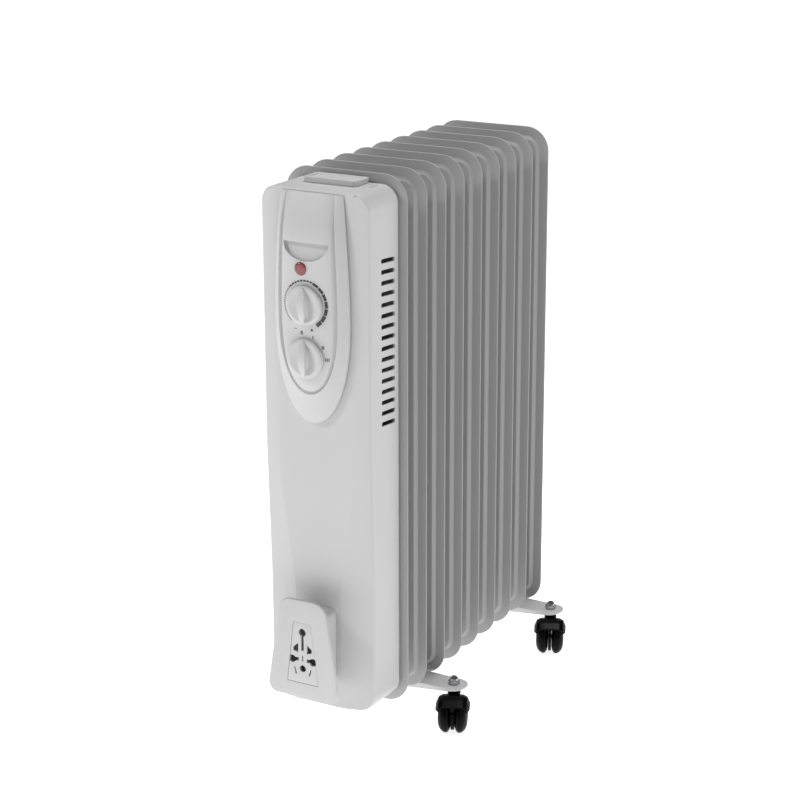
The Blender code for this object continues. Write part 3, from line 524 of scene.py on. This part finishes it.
def model_panel():
    """Loft rings of the shield outline from the casing's face to the crown, then close them."""
    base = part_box("control_panel")[1].y
    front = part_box("control_panel")[0].y
    outer = shield(0.0360, 0.0433, PANEL_WIDE, PANEL_LOW, 2.2)
    crest = shield(0.0294, 0.0346, CREST_WIDE, CREST_LOW, 2.5)
    mid = [((a[0] + b[0]) / 2, (a[1] + b[1]) / 2) for a, b in zip(outer, crest)]
    crown = base - front
    rings = [(outer, 0.960, 0.0), (outer, 0.960, 0.0013), (outer, 1.0, 0.0015), (outer, 1.0, 0.0032),
             (outer, 0.988, 0.0048), (mid, 1.0, 0.0086), (crest, 1.03, 0.0108), (crest, 1.0, 0.0113),
             (crest, 0.98, 0.0109), (crest, 0.955, 0.0094), (crest, 0.93, 0.0091), (crest, 0.90, 0.0096),
             (crest, 0.84, 0.0132), (crest, 0.72, crown - 0.0009), (crest, 0.50, crown - 0.0003),
             (crest, 0.22, crown)]
    work = bmesh.new()
    loops = []
    for outline, scale, out in rings:
        loop = []
        for x, level in outline:
            pivot = min(max(level, SPINE_LOW), PANEL_TOP)
            level = pivot + (level - pivot) * scale
            swell = 1 - 0.80 * max(0.0, (level - 0.505) / (PANEL_TOP - 0.505)) ** 2
            loop.append(work.verts.new((x * scale, base - out * swell, fin_foot + level)))
        loops.append(loop)
    count = len(loops[0])
    for first, second in zip(loops, loops[1:]):
        for k in range(count - 1):
            work.faces.new((first[k], first[k + 1], second[k + 1], second[k]))
    inner, middle = loops[-1], count // 2
    for k in range(middle - 1):
        work.faces.new((inner[k], inner[k + 1], inner[count - 2 - k], inner[count - 1 - k]))
    work.faces.new((inner[middle - 1], inner[middle], inner[middle + 1]))
    work.faces.new([loop[0] for loop in loops] + [loop[-1] for loop in reversed(loops)])
    work.faces.new(loops[0])
    bmesh.ops.recalc_face_normals(work, faces=work.faces)
    mesh = bpy.data.meshes.new("panel_moulding")
    work.to_mesh(mesh)
    work.free()
    panel = bpy.data.objects.new("panel_moulding", mesh)
    bpy.context.scene.collection.objects.link(panel)
    reach = (front - 0.002, front + RECESS_DEEP)
    recess = rod("recess", RECESS_HALF, (0, reach[0], fin_foot + RECESS_LEVEL),
                 (0, reach[1], fin_foot + RECESS_LEVEL), 64)
    bpy.ops.mesh.select_all(action="SELECT")
    bpy.ops.mesh.bisect(plane_co=(0, 0, fin_foot + RECESS_LEVEL), plane_no=(0, 0, 1), use_fill=True,
                        clear_outer=True)
    bpy.ops.mesh.select_all(action="SELECT")
    bpy.ops.transform.resize(value=(1, 1, RECESS_DROP / RECESS_HALF),
                             center_override=(0, 0, fin_foot + RECESS_LEVEL))
    pick_faces(recess, lambda place, normal: normal.y > 0.99)
    bpy.ops.transform.rotate(value=math.radians(RECESS_SLOPE), orient_axis="X",
                             center_override=(0, reach[1], fin_foot + RECESS_LEVEL))
    bpy.ops.mesh.select_all(action="SELECT")
    bpy.ops.mesh.normals_make_consistent(inside=False)
    combine(panel, recess)
    return soften(panel, smooth=38)


panel = settle(model_panel(), WHITE_PLASTIC, "root", "white_plastic", "control_panel")

# ------------------------------------------------------------------ knobs and dial marks
# Two round moulded knobs, each with a spindle-shaped grip across it. The thermostat's scale and
# the switch's positions are printed on the panel in dark grey.
PRINT_HEIGHT = 0.0002


def model_knob(name):
    """A shallow dished disc with a soft spindle grip standing across it."""
    low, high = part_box(name)
    centre, radius = (low + high) / 2, (high.x - low.x) / 2
    knob = rod(name + "_cap", radius, (0, high.y, centre.z), (0, high.y - 0.0040, centre.z), 96)
    pick_faces(knob, lambda place, normal: normal.y < -0.99)
    bpy.ops.mesh.inset(thickness=0.0016, depth=0.0006)
    bpy.ops.mesh.inset(thickness=0.0016, depth=0.0003)
    bpy.ops.mesh.inset(thickness=0.0052, depth=-0.0016)
    soften(knob, 0.0005, 2, 25)
    grip = block("grip", (-0.0064, low.y, centre.z - radius * 0.92),
                 (0.0064, high.y - 0.0030, centre.z + radius * 0.92))
    bpy.ops.mesh.select_all(action="SELECT")
    bpy.ops.mesh.subdivide(number_cuts=5)
    work = bmesh.from_edit_mesh(grip.data)
    for vert in work.verts:
        along = (vert.co.z - centre.z) / (radius * 0.90)
        vert.co.x *= math.sqrt(max(0.05, 1 - along ** 2))
        if vert.co.y < high.y - 0.0050:
            vert.co.y += 0.0042 * along ** 2
            vert.co.x *= 0.66
    bmesh.update_edit_mesh(grip.data)
    soften(grip)
    smoother = grip.modifiers.new("smoother", "SUBSURF")
    smoother.levels = smoother.render_levels = 2
    bpy.ops.object.modifier_apply(modifier=smoother.name)
    combine(knob, grip, "UNION")
    return soften(knob, smooth=38)


PRINT_INK = moulded_plastic("grey_print", (0.045, 0.046, 0.048), (0.06, 0.06, 0.062), 0.5)


def lay_on_panel(mark, x, level, turn):
    """Turn a mark modelled at the origin clockwise and press it on the panel at x and level."""
    place, normal = panel.ray_cast(Vector((x, -1, level)), Vector((0, 1, 0)))[1:3]
    lean = Vector((0, -1, 0)).rotation_difference(normal).to_matrix().to_4x4()
    mark.data.transform(Matrix.Translation(place) @ lean @ Matrix.Rotation(math.radians(turn), 4, "Y"))
    return settle(soften(mark), PRINT_INK, "root", "black_plastic")


def print_bar(name, x, level, width, height, turn=0.0):
    """A flat printed bar."""
    bar = block(name, (-width / 2, -PRINT_HEIGHT, -height / 2), (width / 2, PRINT_HEIGHT, height / 2))
    bpy.ops.object.mode_set(mode="OBJECT")
    return lay_on_panel(bar, x, level, turn)


for name, body in (("thermostat_knob", "thermostat_dial"), ("switch_knob", "switch_dial")):
    settle(model_knob(name), WHITE_PLASTIC, body, "white_plastic", name)

thermostat_level = (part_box("thermostat_knob")[0].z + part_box("thermostat_knob")[1].z) / 2
switch_level = (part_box("switch_knob")[0].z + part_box("switch_knob")[1].z) / 2
# first angle, pitch and number of the ticks in each run, then their width and length
TICK_RUNS = ((-135, 5, 18, 0.0008, 0.0015), (-44, 8.5, 8, 0.0026, 0.0018), (29, 18.4, 7, 0.0068, 0.0027))
TICK_EDGE, TICK_GROWTH = 0.0254, 0.00022
for run, (start, pitch, count, width, length) in enumerate(TICK_RUNS):
    for number in range(count):
        turn = start + pitch * number
        long = length + TICK_GROWTH * number * (run == 2)
        reach, angle = TICK_EDGE - long / 2, math.radians(turn)
        print_bar(f"thermostat_tick_{run + 1}_{number + 1}", reach * math.sin(angle),
                  thermostat_level + reach * math.cos(angle), width, long, turn)
print_bar("thermostat_low_mark", -0.0120, thermostat_level - 0.0255, 0.0026, 0.0006)
print_bar("thermostat_high_mark", 0.0069, thermostat_level - 0.0252, 0.0022, 0.0022)

NUMERAL_HEIGHT, NUMERAL_STROKE, NUMERAL_STEP = 0.0034, 0.0009, 0.0016
for bars, (x, rise) in ((1, (0.0082, 0.0218)), (2, (0.0195, 0.0126)), (3, (0.0236, 0.0004))):
    level = switch_level + rise
    for bar in range(bars):
        print_bar(f"switch_numeral_{bars}_{bar + 1}", x + (bar - (bars - 1) / 2) * NUMERAL_STEP, level,
                  NUMERAL_STROKE, NUMERAL_HEIGHT)
zero = rod("switch_numeral_0", 0.0013, (0, PRINT_HEIGHT, 0), (0, -PRINT_HEIGHT, 0), 24)
combine(zero, rod("middle", 0.0006, (0, 2 * PRINT_HEIGHT, 0), (0, -2 * PRINT_HEIGHT, 0), 24))
zero.data.transform(Matrix.Scale(1.5, 4, (0, 0, 1)))
lay_on_panel(zero, -0.0048, switch_level + 0.0254, 0)

# ------------------------------------------------------------------ lamp
# A red domed lens in a narrow pale ring, over the thermostat.
lens_low, lens_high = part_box("lamp_lens")
lens_radius = (lens_high.x - lens_low.x) / 2
lens_middle = (lens_low + lens_high) / 2
lens = rod("lamp_dome", lens_radius, (lens_middle.x, lens_high.y, lens_middle.z),
           (lens_middle.x, lens_low.y, lens_middle.z), 48)
pick_faces(lens, lambda place, normal: normal.y < -0.99)
bpy.ops.mesh.bevel(offset=0.0022, segments=5, affect="EDGES")
settle(soften(lens, smooth=60), RED_LENS, "root", "red_lens", "lamp_lens")
seat = lens_low.y + 0.0012
ring = rod("lamp_ring", lens_radius + 0.0014, (lens_middle.x, seat + 0.0030, lens_middle.z),
           (lens_middle.x, seat, lens_middle.z), 48)
combine(ring, rod("middle", lens_radius + 0.0001, (lens_middle.x, seat + 0.01, lens_middle.z),
                  (lens_middle.x, seat - 0.01, lens_middle.z), 48))
settle(soften(ring, 0.0004, 2, 60), WHITE_PLASTIC, "root", "white_plastic")

# ------------------------------------------------------------------ top pad
# A shallow cap moulded on the casing's top, with a plain sunk panel in it.
pad_low, pad_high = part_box("top_pad")
pad = block("top_pad_moulding", pad_low, pad_high)
round_edges(pad, 0.0040, 5, lambda place, along, fold: abs(along.z) > 0.99)
pick_faces(pad, lambda place, normal: normal.z > 0.99)
bpy.ops.mesh.inset(thickness=0.0036, depth=0)
bpy.ops.mesh.inset(thickness=0.0010, depth=-0.0012)
settle(soften(pad, 0.0012, 3, 60), WHITE_PLASTIC, "root", "white_plastic", "top_pad")

# ------------------------------------------------------------------ cord winder and plug park
# A slightly crowned plate stands off the casing on a neck, and the cord is wound round the neck.
# An insert in the plate has openings for the pins of several kinds of plug.
WINDER_THICK, NECK_HALF = 0.0034, 0.0215
winder_low, winder_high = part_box("cord_winder")


def tapered_plate(name, front, back, low, high, low_half, high_half, corner):
    """A plate wider at its foot, with round corners, open in edit mode."""
    piece = block(name, (-low_half, front, low), (low_half, back, high))
    pick_faces(piece, lambda place, normal: normal.z > 0.99)
    bpy.ops.transform.resize(value=(high_half / low_half, 1, 1), center_override=(0, front, high))
    round_edges(piece, corner, 8, lambda place, along, fold: abs(along.y) > 0.99)
    return piece


def model_winder():
    """A tapered plate on a hollow neck, with a window for the insert."""
    front = winder_low.y
    plate = tapered_plate("winder_plate", front, front + WINDER_THICK, winder_low.z, winder_high.z,
                          0.0439, 0.0265, 0.0125)
    soften(plate, 0.0011, 3, 40)
    neck = block("neck", (-NECK_HALF, front + 0.0020, 0.086), (NECK_HALF, winder_high.y, 0.166))
    round_edges(neck, 0.006, 5, lambda place, along, fold: abs(along.y) > 0.99)
    combine(plate, neck, "UNION")
    hollow = block("hollow", (-NECK_HALF + 0.0022, front + WINDER_THICK, 0.0882),
                   (NECK_HALF - 0.0022, winder_high.y + 0.002, 0.1638))
    round_edges(hollow, 0.005, 5, lambda place, along, fold: abs(along.y) > 0.99)
    combine(plate, hollow)
    window = tapered_plate("window", front - 0.002, front + WINDER_THICK + 0.002, 0.0902, 0.1578,
                           0.0191, 0.0108, 0.0022)
    combine(plate, window)
    return soften(plate, smooth=35)


def model_park():
    """The insert, with its keyhole, side openings, slits and lower hole cut through."""
    low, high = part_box("plug_park")
    park = tapered_plate("park_insert", low.y, high.y, low.z, high.z, 0.0188, 0.0105, 0.0020)
    soften(park, 0.0003, 2, 40)
    front, back = low.y - 0.003, high.y + 0.003
    holes = [rod("hole", 0.0043, (0, front, 0.1470), (0, back, 0.1470)),
             rod("hole", 0.0038, (0, front, 0.1068), (0, back, 0.1068)),
             block("hole", (-0.0016, front, 0.1270), (0.0016, back, 0.1450)),
             block("hole", (-0.0007, front, 0.1150), (0.0007, back, 0.1215))]
    for side in (-1, 1):
        ear = block("hole", (0.0052, front, 0.1240), (0.0112, back, 0.1345))
        pick_faces(ear, lambda place, normal: normal.x > 0.99)
        bpy.ops.transform.resize(value=(1, 1, 0.35), center_override=(0, 0, 0.1268))
        foot = rod("hole", 0.0042, (0.0124, front, 0.1160), (0.0124, back, 0.1160), 24)
        bridge = block("hole", (0.0048, front, 0.1145), (0.0124, back, 0.1185))
        slit = block("hole", (0.0080, front, 0.0998), (0.0096, back, 0.1072))
        bpy.ops.object.mode_set(mode="OBJECT")
        for tool in (ear, foot, bridge, slit):
            if tool is slit:
                centre = Vector((0.0088, 0, 0.1035))
                slant = Matrix.Rotation(math.radians(16), 4, "Y")
                tool.data.transform(Matrix.Translation(centre) @ slant @ Matrix.Translation(-centre))
            if side < 0:
                tool.data.transform(Matrix.Scale(-1, 4, (1, 0, 0)))
                tool.data.flip_normals()
            holes.append(tool)
    for hole in holes:
        combine(park, hole)
    return soften(park, smooth=30)


settle(model_winder(), WHITE_PLASTIC, "root", "white_plastic", "cord_winder")
settle(model_park(), WHITE_PLASTIC, "root", "white_plastic", "plug_park")

# ------------------------------------------------------------------ castors
# Twin wheels of black plastic on an axle under a black hood. Each wheel is turned, with a rounded
# tread and a shallow hub ring.
TREAD = ((0.0030, 0.0022), (0.0120, 0.0022), (0.0160, 0.0032), (0.0186, 0.0050), (0.01935, 0.0062),
         (0.0195, 0.0074), (0.0193, 0.0088), (0.0184, 0.0106), (0.0170, 0.0123), (0.0150, 0.0139),
         (0.0128, 0.0150), (0.0108, 0.0156), (0.0100, 0.0154), (0.0092, 0.0158), (0.0062, 0.0161),
         (0.0045, 0.0158), (0.0038, 0.0152), (0.0030, 0.0152))
wheel_joints = [joint for joint in frame["joints"] if joint["name"].endswith("_spin")]


def model_wheel(joint):
    """Spin the tread's outline about the axle."""
    centre, axle = Vector(joint["pos_m"]), Vector(joint["axis"]).normalized()
    side = -1 if "left_wheel" in joint["child"] else 1
    mesh = bpy.data.meshes.new("outline")
    points = [centre + axle * side * across + Vector((0, 0, radius)) for radius, across in TREAD]
    count = len(points)
    mesh.from_pydata(points, [(k, (k + 1) % count) for k in range(count)], [])
    wheel = bpy.data.objects.new(joint["child"] + "_moulding", mesh)
    bpy.context.scene.collection.objects.link(wheel)
    bpy.ops.object.select_all(action="DESELECT")
    wheel.select_set(True)
    bpy.context.view_layer.objects.active = wheel
    bpy.ops.object.mode_set(mode="EDIT")
    bpy.ops.mesh.select_all(action="SELECT")
    bpy.ops.mesh.spin(steps=56, angle=2 * math.pi, center=centre, axis=axle)
    bpy.ops.mesh.select_all(action="SELECT")
    bpy.ops.mesh.remove_doubles(threshold=0.00001)
    bpy.ops.mesh.normals_make_consistent(inside=False)
    return soften(wheel, smooth=40)


for joint in wheel_joints:
    settle(model_wheel(joint), BLACK_PLASTIC, joint["child"], "black_plastic", joint["child"])
